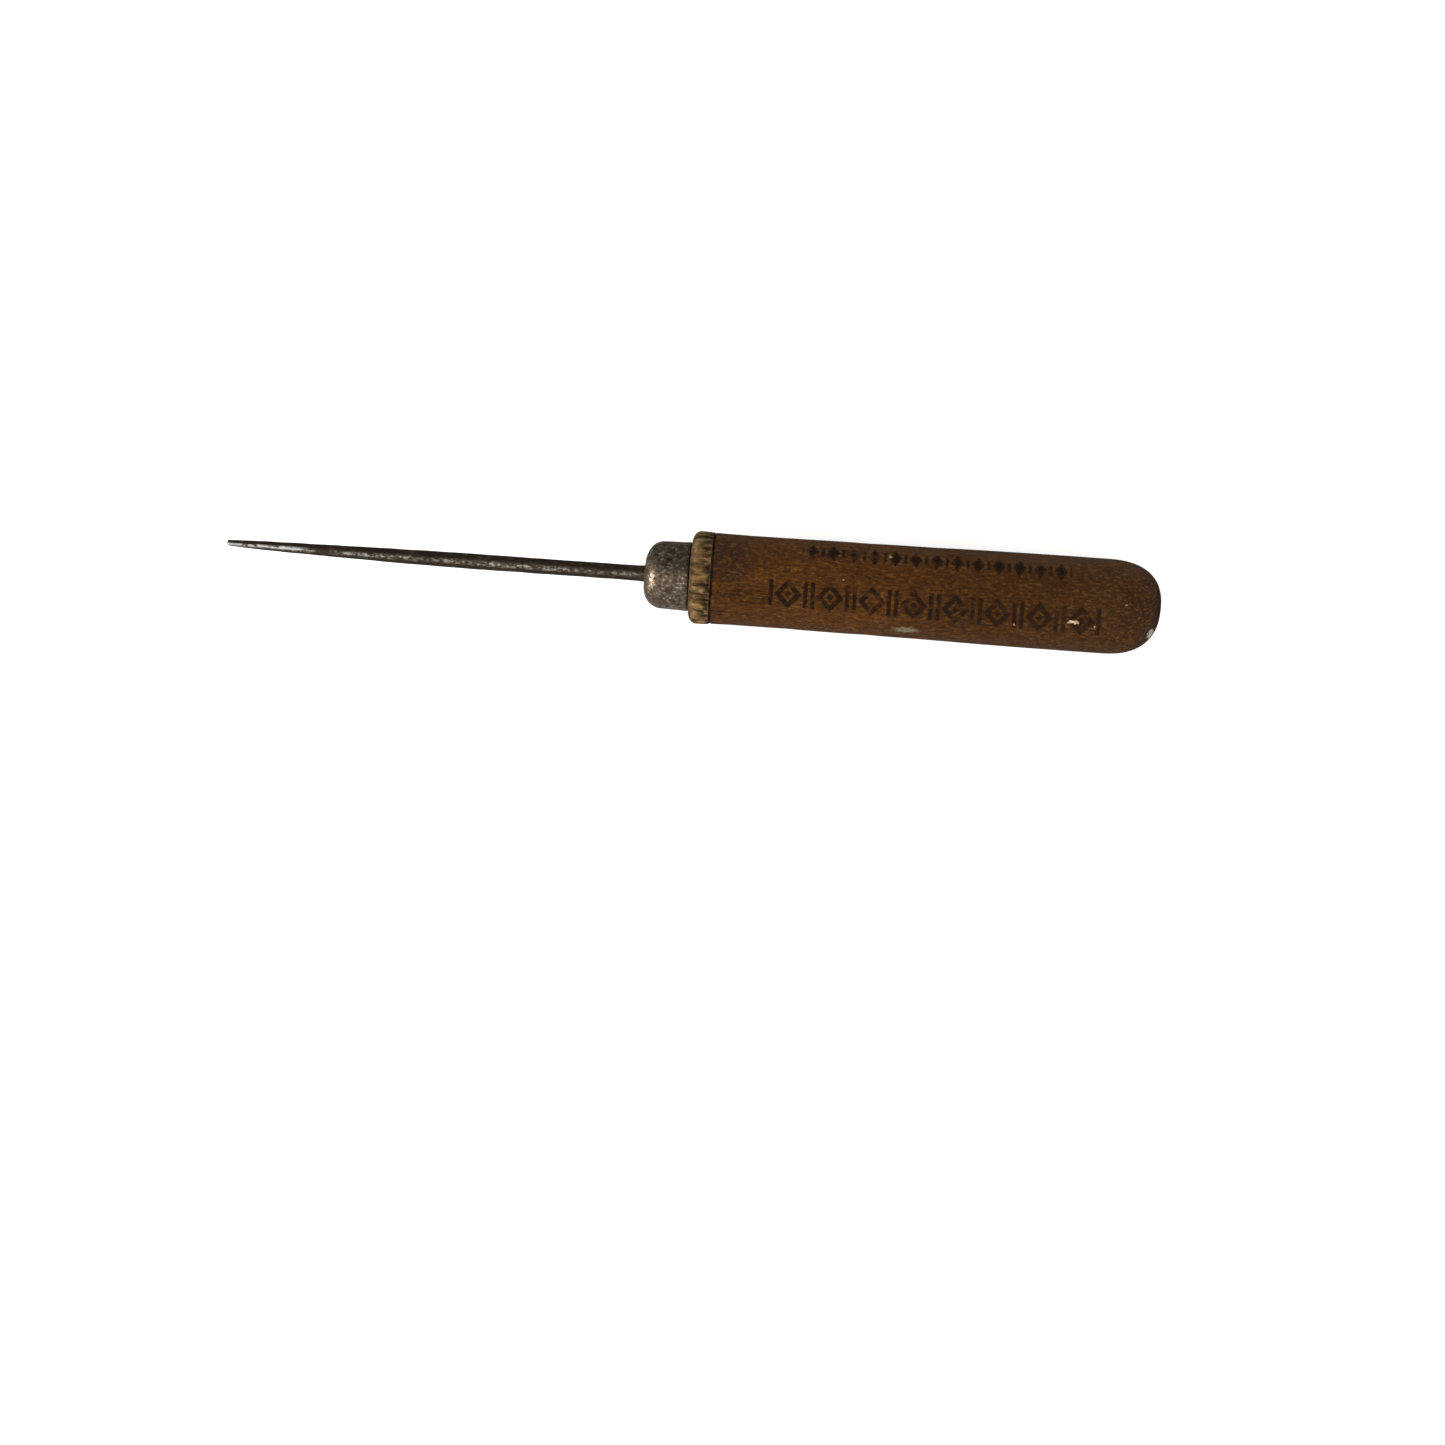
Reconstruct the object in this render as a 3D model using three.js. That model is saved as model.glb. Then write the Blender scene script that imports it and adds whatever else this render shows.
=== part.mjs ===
// An ice pick: a tapered steel spike driven into a turned wooden handle, with a drawn steel ferrule
// over the handle's front end.
//
// Millimetres, +Z up. The tool lies on its side with its axis along X, the point towards -X and the
// butt towards +X. The origin is the bottom centre of its bounding box, so the underside of the
// handle's swell is at z = 0.
//
// Every piece is turned about the tool's axis. A station is a distance along that axis from the front
// edge of the scored groove: the spike has negative stations, the grip has positive ones.

import * as THREE from 'three';

// Facets round each turned piece. One facet looks straight down, and the flats, not the corners,
// carry the stated radii.
const FACETS = 24;

// Overall layout, as stations.
const TIP = -114.0;
const FERRULE_FRONT = -15.6;
const FERRULE_MOUTH = -5.0;
const SHOULDER = -4.85;
const GROOVE = 0.0;
const BUTT = 105.4;

// Spike. Radii are given by their distance from the tip.
const NOSE_LENGTH = 0.8;
const NOSE_RADIUS = 0.74;
const TAPER = [
  [NOSE_LENGTH, NOSE_RADIUS],
  [7, 1.01],
  [18, 1.27],
  [35, 1.59],
  [46, 1.75],
  [58, 1.83],
];
const SHANK_RADIUS = 1.83;

// The neck is the slightly thicker stretch where the spike passes through the ferrule.
const NECK_RADIUS = 1.93;
const NECK_FLARE_FROM = -17.2;
const NECK_FROM = -16.0;
const NECK_TO = -14.6;
const NECK_END = -14.1;

// Tang, the hidden end of the spike. Two ears are swaged on it, so that it can't turn in the wood.
const TANG_END = 38.0;
const TANG_RADIUS = 1.8;
const TANG_POINT = 3.0;
const EARS_FROM = 5.0;
const EARS_TO = 15.0;
const EAR_FADE = 1.5;
const EAR_SPREAD = 1.28;
const EAR_THINNING = 0.72;

// Ferrule, a cup drawn from thin sheet, with a hole for the spike.
const SHEET = 0.5;
const FERRULE_FLAT = 3.0;
const DOME_LENGTH = 4.3;
const FERRULE_RADIUS = 7.9;
const MOUTH_RADIUS = 8.12;
const FERRULE_HOLE = 2.1;

// Handle.
const CLEARANCE = 0.15;
const SHOULDER_INNER = 8.2;
const SHOULDER_ROUND = 1.9;
const COLLAR_RADIUS = 10.85;
const COLLAR_BACK_RADIUS = 10.77;
const GROOVE_WIDTH = 0.6;
const GROOVE_DEPTH = 0.65;
const SWELL_RADIUS = 11.12;
const SWELL_FROM = 74;
const BUTT_LENGTH = 13.4;
const BUTT_SQUARENESS = 2.5;
const GRIP = [
  [GROOVE + GROOVE_WIDTH, 10.7],
  [8, 10.6],
  [15, 10.57],
  [30, 10.7],
  [50, 10.84],
  [62, 11.0],
  [SWELL_FROM, SWELL_RADIUS],
];

// Pilot hole for the tang, wider where the ears push the wood aside.
const BORE_RADIUS = TANG_RADIUS + CLEARANCE;
const BORE_EAR_RADIUS = TANG_RADIUS * EAR_SPREAD + 2 * CLEARANCE;
const BORE_END = TANG_END + 1;
const BORE_POINT = 1.2;
const BORE_STEP = 0.6;

const WOOD = new THREE.MeshStandardMaterial({ color: '#4e3217', roughness: 0.55, metalness: 0 });
const PLATED = new THREE.MeshStandardMaterial({ color: '#7a6b56', roughness: 0.45, metalness: 1 });
const STEEL = new THREE.MeshStandardMaterial({ color: '#4a4238', roughness: 0.5, metalness: 1 });

// Profile points are Vector2(radius, station).
function at(station, radius) {
  return new THREE.Vector2(radius, station);
}

// A smooth run through [station, radius] pairs.
function through(pairs, steps) {
  const curve = new THREE.SplineCurve(pairs.map(([station, radius]) => at(station, radius)));
  return curve.getPoints(steps);
}

// A quarter of a superellipse that starts square to the axis at `station` and ends parallel to it,
// `length` further on: the rounding from `innerRadius` to `outerRadius`. A squareness of 2 is an
// ellipse. A negative length rounds towards lower stations.
function rounding(station, length, innerRadius, outerRadius, steps, squareness = 2) {
  const points = [];
  for (let i = 0; i <= steps; i += 1) {
    const turn = (i / steps) * (Math.PI / 2);
    const along = 1 - Math.cos(turn) ** (2 / squareness);
    const out = Math.sin(turn) ** (2 / squareness);
    points.push(at(station + length * along, innerRadius + (outerRadius - innerRadius) * out));
  }
  return points;
}

// The ferrule's cup shape, from its front flat round to its mouth, moved inwards by `inset`. The
// sheet's outer face, its inner face and the tenon inside it share this shape.
function cup(inset, mouth) {
  const front = FERRULE_FRONT + inset;
  const dome = rounding(front, DOME_LENGTH - inset, FERRULE_FLAT, FERRULE_RADIUS - inset, 8);
  return [...dome, at(mouth, MOUTH_RADIUS - inset)];
}

// Turns a profile about the axis. The flats carry the radii, so the corners lie a little further out.
function turned(profile) {
  const corner = 1 / Math.cos(Math.PI / FACETS);
  const points = profile.map((p) => new THREE.Vector2(p.x * corner, p.y));
  return new THREE.LatheGeometry(points, FACETS, Math.PI / FACETS);
}

function named(name, geometry, material) {
  const mesh = new THREE.Mesh(geometry, material);
  mesh.name = name;
  return mesh;
}

// How far a station lies within the ears, from 0 at their ends to 1 along them.
function earShare(station) {
  const inside = Math.min(station - EARS_FROM, EARS_TO - station);
  return THREE.MathUtils.clamp(inside / EAR_FADE, 0, 1);
}

// Squeezes the tang from above and below along the ears, which spreads it sideways.
function swageEars(geometry) {
  const position = geometry.getAttribute('position');
  for (let i = 0; i < position.count; i += 1) {
    const share = earShare(position.getY(i));
    position.setX(i, position.getX(i) * (1 + (EAR_SPREAD - 1) * share));
    position.setZ(i, position.getZ(i) * (1 - (1 - EAR_THINNING) * share));
  }
  geometry.computeVertexNormals();
}

function makePick() {
  const taper = TAPER.map(([distance, radius]) => [TIP + distance, radius]);
  const profile = [
    ...rounding(TIP, NOSE_LENGTH, 0, NOSE_RADIUS, 4),
    ...through(taper, 10).slice(1),
    at(NECK_FLARE_FROM, SHANK_RADIUS),
    at(NECK_FROM, NECK_RADIUS),
    at(NECK_TO, NECK_RADIUS),
    at(NECK_END, TANG_RADIUS),
    at(EARS_FROM, TANG_RADIUS),
    at(EARS_FROM + EAR_FADE, TANG_RADIUS),
    at(EARS_TO - EAR_FADE, TANG_RADIUS),
    at(EARS_TO, TANG_RADIUS),
    at(TANG_END - TANG_POINT, TANG_RADIUS),
    at(TANG_END, TANG_RADIUS / 3),
    at(TANG_END, 0),
  ];
  const geometry = turned(profile);
  swageEars(geometry);
  return named('pick', geometry, STEEL);
}

function makeFerrule() {
  const outside = cup(0, FERRULE_MOUTH);
  const inside = cup(SHEET, FERRULE_MOUTH).reverse();
  const profile = [
    at(FERRULE_FRONT, FERRULE_HOLE),
    ...outside,
    ...inside,
    at(FERRULE_FRONT + SHEET, FERRULE_HOLE),
    at(FERRULE_FRONT, FERRULE_HOLE),
  ];
  return named('ferrule', turned(profile), PLATED);
}

function makeHandle() {
  const tenonInset = SHEET + CLEARANCE;
  const tenonFront = FERRULE_FRONT + tenonInset;
  const bore = [
    at(BORE_END + BORE_POINT, 0),
    at(BORE_END, BORE_RADIUS),
    at(EARS_TO + 2 * BORE_STEP, BORE_RADIUS),
    at(EARS_TO + BORE_STEP, BORE_EAR_RADIUS),
    at(EARS_FROM - BORE_STEP, BORE_EAR_RADIUS),
    at(EARS_FROM - 2 * BORE_STEP, BORE_RADIUS),
    at(NECK_END + BORE_STEP, BORE_RADIUS),
    at(NECK_END, NECK_RADIUS + CLEARANCE),
    at(tenonFront, NECK_RADIUS + CLEARANCE),
  ];
  const collar = [
    ...rounding(SHOULDER, SHOULDER_ROUND, SHOULDER_INNER, COLLAR_RADIUS, 6),
    at(GROOVE, COLLAR_BACK_RADIUS),
    at(GROOVE + GROOVE_WIDTH / 2, COLLAR_BACK_RADIUS - GROOVE_DEPTH),
  ];
  const buttStart = BUTT - BUTT_LENGTH;
  const butt = rounding(BUTT, -BUTT_LENGTH, 0, SWELL_RADIUS, 10, BUTT_SQUARENESS).reverse();
  const profile = [
    ...bore,
    ...cup(tenonInset, SHOULDER),
    ...collar,
    ...through(GRIP, 14),
    at(buttStart, SWELL_RADIUS),
    ...butt.slice(1),
  ];
  return named('handle', turned(profile), WOOD);
}

// The pieces are turned about Y, so one group lays the whole tool along X at its place.
const tool = new THREE.Group();
tool.rotation.z = -Math.PI / 2;
tool.position.set(-(TIP + BUTT) / 2, 0, SWELL_RADIUS);
tool.add(makeHandle(), makeFerrule(), makePick());

const model = new THREE.Group();
model.add(tool);

export default model;
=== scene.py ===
"""The looks of an old ice pick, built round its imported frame: a worn wooden handle, a dull plated
ferrule and a darkened steel spike, on a plain pale floor under soft studio light.

The layout is a Blender add-on's, and the file is run as a script: main() calls its operators in
order. Lengths are metres. A station is a distance along the tool's axis from the front edge of the
scored groove in the handle: the spike has negative stations, the grip has positive ones. An angle
goes round the axis from the top of the tool, towards +Y.
"""

import math

import bpy
import numpy as np
from bpy.props import FloatProperty, FloatVectorProperty, PointerProperty
from mathutils import Matrix, Vector


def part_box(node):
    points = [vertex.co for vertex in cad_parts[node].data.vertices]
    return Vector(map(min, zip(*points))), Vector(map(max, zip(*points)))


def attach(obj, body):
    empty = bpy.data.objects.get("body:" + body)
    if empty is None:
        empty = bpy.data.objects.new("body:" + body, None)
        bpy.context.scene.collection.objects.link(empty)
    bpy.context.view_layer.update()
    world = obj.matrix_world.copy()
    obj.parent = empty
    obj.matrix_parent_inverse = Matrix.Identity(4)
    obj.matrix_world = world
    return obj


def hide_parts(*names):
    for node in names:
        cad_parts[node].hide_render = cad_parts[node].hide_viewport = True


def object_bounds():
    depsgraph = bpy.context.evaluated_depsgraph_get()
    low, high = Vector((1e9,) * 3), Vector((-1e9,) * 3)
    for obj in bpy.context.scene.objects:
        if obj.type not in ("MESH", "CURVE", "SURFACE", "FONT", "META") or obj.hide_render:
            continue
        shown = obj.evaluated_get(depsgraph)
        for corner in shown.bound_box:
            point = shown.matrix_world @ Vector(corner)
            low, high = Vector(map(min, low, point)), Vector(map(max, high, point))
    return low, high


bl_info = {
    "name": "Ice Pick",
    "version": (1, 0, 0),
    "blender": (4, 5, 0),
    "location": "3D View > Sidebar > Ice Pick",
    "description": "Builds an old ice pick with a worn wooden handle",
    "category": "Add Mesh",
}

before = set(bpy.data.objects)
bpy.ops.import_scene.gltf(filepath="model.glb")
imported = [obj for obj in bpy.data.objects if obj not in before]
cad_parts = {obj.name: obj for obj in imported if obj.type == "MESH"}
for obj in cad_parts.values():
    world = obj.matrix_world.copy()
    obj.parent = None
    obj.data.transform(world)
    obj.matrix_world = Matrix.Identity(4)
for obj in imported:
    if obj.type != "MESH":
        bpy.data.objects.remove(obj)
CAD_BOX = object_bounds()

MM = 0.001

# Places in the frame.
GROOVE_BEHIND_MOUTH = 5.0 * MM
SHOULDER_BEHIND_MOUTH = 0.15 * MM
PICK_LOW, PICK_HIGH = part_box("pick")
FERRULE_LOW, FERRULE_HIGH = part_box("ferrule")
HANDLE_LOW, HANDLE_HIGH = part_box("handle")
AXIS_HEIGHT = (HANDLE_LOW.z + HANDLE_HIGH.z) / 2
ZERO_X = FERRULE_HIGH.x + GROOVE_BEHIND_MOUTH
TIP = PICK_LOW.x - ZERO_X
TANG_END = PICK_HIGH.x - ZERO_X
FERRULE_FRONT = FERRULE_LOW.x - ZERO_X
FERRULE_MOUTH = FERRULE_HIGH.x - ZERO_X
TENON_FRONT = HANDLE_LOW.x - ZERO_X
SHOULDER = FERRULE_MOUTH + SHOULDER_BEHIND_MOUTH
BUTT = HANDLE_HIGH.x - ZERO_X

# Random seeds, and the number of columns round each piece.
HANDLE_SEED, FERRULE_SEED, SPIKE_SEED = 11, 23, 37
HANDLE_COLUMNS, FERRULE_COLUMNS, SPIKE_COLUMNS = 320, 240, 72

# How many of each small hollow.
KNOCKS, FURROWS, SPLITS, CHIPS = 44, 54, 46, 26
DENTS, RUST_PITS, SPIKE_PITS = 9, 230, 620

# The tenon, the tang with its ears, and the tang's pilot hole with its rows in the profile.
TENON_FLAT, TENON_REACH = 3.0 * MM, 3.65 * MM
TENON_RADIUS, TENON_MOUTH = 7.25 * MM, 7.47 * MM
EARS_FROM, EARS_TO, EARS_FADE = 5.0 * MM, 15.0 * MM, 1.5 * MM
EARS_SPREAD = 0.28
TANG_RADIUS = 1.8 * MM
BORE_RADIUS, BORE_EARS_RADIUS, BORE_FRONT_RADIUS = 1.95 * MM, 2.6 * MM, 2.08 * MM
BORE_ROWS = 8

# The ferrule's front flat, its dome, its hole, its mouth's half-round edge, and the outer face's rows.
FERRULE_FLAT, DOME_REACH, FERRULE_HOLE, EDGE = 3.0 * MM, 4.3 * MM, 2.0 * MM, 0.2 * MM
LIP_ROWS, DOME_ROWS, BARREL_ROWS = 7, 30, 32

# The radius that turns an angle on the grip into a distance round the girth.
GIRTH_RADIUS = 11 * MM
ORNAMENT_SLANT = 0.022

# The ornament's rows. Each has the shares of its lozenge at the line's inner edge and at the heart's
# edge, and then, in mm, its middle round the girth, its first and last station, its pitch, the
# lozenge's half height and half width, and the bar's half height, offset and half width.
ORNAMENT_ROWS = (
    (0.52, 0.27, -2.5, 13.5, 91.1, 9.7, 3.7, 3.2, 3.3, 0.85, 0.48),
    (-1.0, 0.5, 9.2, 21.0, 83.4, 4.8, 2.7, 1.5, 1.5, 0.0, 0.36),
)

# Flecks of pale paint, in mm: the place, and the half-widths along and across.
FLECKS = (
    ((30.9, 1.41, 10.6), 0.30, 0.24),
    ((96.4, 0.16, 11.0), 0.28, 0.22),
    ((89.5, -5.25, 9.8), 0.22, 0.20),
    ((71.0, -6.1, 9.2), 0.22, 0.18),
    ((41.4, 7.64, 7.6), 0.34, 0.26),
)

# Light: the directions of the room's lit side and of the lamp overhead, and the low window.
LIT_SIDE = (-0.42, -0.9, 0.1)
LAMP_SIDE = (-0.10, -0.33, 0.94)
UNLIT_ROOM = 0.19
WINDOW_PLACE = (-0.85, -0.18, 0.24)
WINDOW_SIZE = (0.3, 0.22)
FLOOR_HALF = 1.5

# The view: its width and middle on the tool, and how the camera is turned.
VIEW_WIDTH = 338 * MM
VIEW_MIDDLE = (5.07 * MM, -33.48 * MM)
SLOPE = math.radians(4.10)
LEAN = math.radians(1.6)
SENSOR = 36.0


def linear(hex_colour):
    """An sRGB hex colour as linear red, green, blue and alpha."""
    parts = [int(hex_colour[i : i + 2], 16) / 255 for i in (1, 3, 5)]
    return (*[c / 12.92 if c <= 0.04045 else ((c + 0.055) / 1.055) ** 2.4 for c in parts], 1.0)


def length(name, description, default):
    """A length property in metres."""
    extra = {"precision": 5, "unit": "LENGTH", "subtype": "DISTANCE"}
    return FloatProperty(name=name, description=description, default=default, **extra)


def colour(name, description, hex_colour):
    """A colour property from an sRGB hex value."""
    extra = {"size": 4, "min": 0, "max": 1, "subtype": "COLOR"}
    return FloatVectorProperty(name=name, description=description, default=linear(hex_colour), **extra)


def number(name, description, default):
    """A plain number property."""
    return FloatProperty(name=name, description=description, default=default)


# ---- settings


class HandleSettings(bpy.types.PropertyGroup):
    swell: length("Swell radius", "Largest radius of the grip, near the butt", 11.12 * MM)
    waist: length("Waist radius", "Smallest radius of the grip", 10.57 * MM)
    collar: length("Collar radius", "Largest radius of the front collar", 10.93 * MM)
    groove_width: length("Groove width", "Width of the scored groove", 0.74 * MM)
    groove_depth: length("Groove depth", "Depth of the scored groove", 0.36 * MM)
    stain: colour("Stain", "Brown of the stained wood", "#502c0b")
    stain_gold: colour("Golden stain", "Where the stain has worn thin", "#623a0a")
    stain_light: colour("Light grain", "Light streaks of the stained wood", "#633b0e")
    stain_pale: colour("Pale grain", "Small places where the stain has rubbed off", "#734b20")
    stain_red: colour("Red grain", "Redder patches of the stained wood", "#4d2509")
    stain_dark: colour("Dark grain", "Dark streaks and flecks of the stained wood", "#221104")
    grime: colour("Grime", "Grey-brown dirt of handling", "#432e1a")
    # Dark grime beside the groove; on the butt's dome it also paints shade.
    dark_grime_and_shade: colour("Dark grime", "Dirt beside the groove and on the end grain", "#312319")
    raw: colour("Raw wood", "Bare wood of the collar", "#674d2c")
    raw_light: colour("Pale raw wood", "Worn ridges of the bare wood", "#987a4f")
    raw_grime: colour("Collar grime", "Dirt on the bare wood towards +Y", "#4a4230")
    # Dirt in the cracks and the groove; at the middle of the butt's end it paints shade.
    crack_dirt_and_shade: colour("Cracks", "Dirt in the cracks and the groove", "#1c1008")
    ink: colour("Ink", "Worn printed ornament", "#1e1006")
    fleck: colour("Flecks", "Small flecks of pale paint", "#a88e6c")
    chip: colour("Chip", "Fresh wood in the chip", "#d9b79b")
    scuff: colour("Scuff", "Paint rubbed onto the lower flank", "#7c7c62")
    butt_scuff: colour("Butt scuff", "Paint rubbed onto the butt", "#b5b0a4")


class FerruleSettings(bpy.types.PropertyGroup):
    front: length("Front radius", "Outside radius behind the dome", 7.9 * MM)
    mouth: length("Mouth radius", "Outside radius at the mouth", 8.12 * MM)
    sheet: length("Sheet", "Thickness of the drawn sheet", 0.5 * MM)
    plating: colour("Plating", "Dull nickel plating", "#9c8a72")
    plating_light: colour("Rubbed plating", "Plating rubbed clean", "#dad3c6")
    tarnish: colour("Tarnish", "Dark tarnish between the rubbed places", "#5c4a36")
    rust: colour("Rust", "Rust in the pits", "#33231a")
    # Painted shade round the mouth, where the cup meets the handle.
    mouth_shade: colour("Mouth dirt", "Dirt round the mouth", "#2c2818")


class PickSettings(bpy.types.PropertyGroup):
    shank: length("Shank radius", "Radius of the spike near the handle", 1.83 * MM)
    nose: length("Nose radius", "Radius of the worn point", 0.74 * MM)
    bend: length("Bend", "How far the point is bent to one side", 0.33 * MM)
    oxide: colour("Oxide", "Dark skin of the old steel", "#4a4438")
    brown: colour("Brown oxide", "Rusty film on the skin", "#574233")
    # Worn steel; on the spike it also paints the reflection band.
    steel: colour("Worn steel", "Steel where the skin has thinned", "#8f8573")
    # Bare steel, shown only inside the spike's painted reflection band.
    bare_steel_and_sheen: colour("Bare steel", "Steel where the skin has gone", "#e2dcd1")
    # Bright steel; also paints the highlight streak along the top near the point.
    bright: colour("Bright steel", "Polished steel near the point", "#efece6")
    # The pits' colour also paints shade on the spike's flank towards -Y.
    pits: colour("Pits", "Dark rust in the pits", "#2a221a")


class StageSettings(bpy.types.PropertyGroup):
    floor: colour("Floor", "Pale matt floor", "#f8f8f7")
    tooth: colour("Tooth", "Hollows of the floor's faint tooth", "#d8d8d4")
    glow: number("Glow", "Light that comes through the floor board", 0.42)
    lens: number("Lens", "Focal length in mm", 100.0)
    dome: number("Dome light", "Strength of the even light all round", 1.12)
    room: number("Lit side", "Brightness of the room's lit side in reflections", 0.33)
    lamp: number("Lamp", "Brightness of the lamp overhead in reflections", 0.3)
    window: number("Window light", "Power of the low light at the point's side", 5.0)


# ---- shape


def rounding(start, reach, inner, outer, steps, squareness=2.0):
    """Stations and radii of a quarter of a superellipse. It starts square to the axis at the station
    `start` and the radius `inner`, and ends along the axis, `reach` further on, at the radius
    `outer`: with t from 0 to a quarter turn and p = 2 / squareness, the station is
    start + reach * (1 - cos(t)^p) and the radius is inner + (outer - inner) * sin(t)^p."""
    turn = np.linspace(0, math.pi / 2, steps)
    power = 2 / squareness
    along = 1 - np.cos(turn).clip(0) ** power
    out = np.sin(turn) ** power
    return start + reach * along, inner + (outer - inner) * out


def run(stations, radii, steps):
    """Stations and radii of a smooth curve through the points given: between neighbours it is the
    cubic whose slope at each point is a weighted mean of the slopes on its two sides."""
    stations, radii = np.asarray(stations, float), np.asarray(radii, float)
    slopes = np.gradient(radii, stations)
    at = np.linspace(stations[0], stations[-1], steps)
    i = np.clip(np.searchsorted(stations, at, side="right") - 1, 0, len(stations) - 2)
    gap = stations[i + 1] - stations[i]
    t = (at - stations[i]) / gap
    radius = (
        (2 * t**3 - 3 * t**2 + 1) * radii[i]
        + (t**3 - 2 * t**2 + t) * gap * slopes[i]
        + (3 * t**2 - 2 * t**3) * radii[i + 1]
        + (t**3 - t**2) * gap * slopes[i + 1]
    )
    return at, radius


def joined(*curves):
    """One profile from several, as an array of stations and an array of radii."""
    return np.concatenate([c[0] for c in curves]), np.concatenate([c[1] for c in curves])


def grid(profile, columns):
    """A profile's stations and radii, and evenly spaced angles, each as a rows by columns array."""
    stations, radii = profile
    angles = np.linspace(0, 2 * math.pi, columns, endpoint=False)
    station, angle = np.meshgrid(stations, angles, indexing="ij")
    return station, np.repeat(radii[:, None], columns, axis=1), angle


def rise(value, low, high):
    """0 below low, 1 above high, and a smooth step between them."""
    t = np.clip((value - low) / (high - low), 0, 1)
    return t * t * (3 - 2 * t)


def ripple(station, angle, rng, waves, turns, wavelength):
    """Gentle unevenness, mostly between -1 and 1: the sum of cosine waves divided by the square root
    of their number. Each goes round the piece a whole number of times, up to `turns`, and repeats
    along it at a random length over `wavelength`."""
    total = np.zeros_like(station)
    for _ in range(waves):
        k = rng.integers(0, turns + 1)
        along = rng.uniform(-1, 1) * 2 * math.pi / wavelength
        total += np.cos(k * angle + along * station + rng.uniform(0, 2 * math.pi))
    return total / math.sqrt(waves)


def dips(station, angle, radius, places, widths, depths):
    """The sum of bell-shaped hollows. Each takes depth * exp(-(a / along)^2 - (b / across)^2) off the
    surface, where a is the distance along the axis and b the distance round the girth."""
    total = np.zeros_like(station)
    for (s, turn), (along, across), depth in zip(places, widths, depths):
        a = (station - s) / along
        b = (np.mod(angle - turn + math.pi, 2 * math.pi) - math.pi) * radius / across
        total += depth * np.exp(-(a**2) - b**2)
    return total


def scattered(rng, count, low, high, narrow, wide, shallow, deep, stretch=1.0):
    """Places, widths and depths of `count` random hollows with stations between low and high.
    Small ones are the most common. `stretch` is how much longer than wide they are."""
    places = np.column_stack([rng.uniform(low, high, count), rng.uniform(0, 2 * math.pi, count)])
    size = rng.uniform(0, 1, count) ** 2
    across = narrow + (wide - narrow) * size
    depths = shallow + (deep - shallow) * size * rng.uniform(0.5, 1, count)
    return places, np.column_stack([across * stretch, across]), depths


def marks(rng, stations, long, wide, deep):
    """Places, widths and depths of hollows at the stations given, each at a random angle. `long`,
    `wide` and `deep` hold the least and the most that each may measure, in mm."""
    count = len(stations)
    places = np.column_stack([stations, rng.uniform(0, 2 * math.pi, count)])
    widths = np.column_stack([rng.uniform(*long, count) * MM, rng.uniform(*wide, count) * MM])
    return places, widths, rng.uniform(*deep, count) * MM


def around_axis(station, radius, angle):
    """Points in the frame from stations, radii and angles."""
    points = np.empty((*station.shape, 3))
    points[..., 0] = ZERO_X + station
    points[..., 1] = radius * np.sin(angle)
    points[..., 2] = AXIS_HEIGHT + radius * np.cos(angle)
    return points


def skin(name, points, looped, **masks):
    """A mesh object from a grid of points, its rows running from the point's side to the butt's side
    over an outer face. Columns always close into rings. With looped True, the last row joins the
    first. Otherwise the first and last rows are each one point, a pole. Each mask is a grid of
    numbers that becomes a vertex attribute."""
    rows, columns = points.shape[:2]
    index = np.arange(rows * columns).reshape(rows, columns)
    if looped:
        index = np.vstack([index, index[:1]])
        keep = np.arange(rows * columns)
    else:
        index[0], index[-1] = index[0, 0], index[-1, 0]
        keep = np.unique(index)
        index = np.searchsorted(keep, index)
    after = np.roll(index, -1, axis=1)
    quads = np.stack([index[:-1], index[1:], after[1:], after[:-1]], axis=-1)
    if looped:
        faces = quads.reshape(-1, 4).tolist()
    else:
        first = quads[0][:, [0, 1, 2]]
        last = quads[-1][:, [0, 1, 3]]
        faces = first.tolist() + quads[1:-1].reshape(-1, 4).tolist() + last.tolist()
    mesh = bpy.data.meshes.new(name)
    mesh.from_pydata(points.reshape(-1, 3)[keep].tolist(), [], faces)
    mesh.polygons.foreach_set("use_smooth", np.ones(len(mesh.polygons), bool))
    for mask, values in masks.items():
        layer = mesh.attributes.new(mask, "FLOAT", "POINT")
        layer.data.foreach_set("value", values.reshape(-1)[keep].astype(np.float32))
    mesh.update()
    piece = bpy.data.objects.new(name, mesh)
    bpy.context.scene.collection.objects.link(piece)
    return piece


def place_piece(piece, node, material):
    """Dresses a finished piece and lets it stand for its CAD node."""
    piece.data.materials.append(material)
    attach(piece, "root")
    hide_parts(node)


# ---- handle


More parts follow.
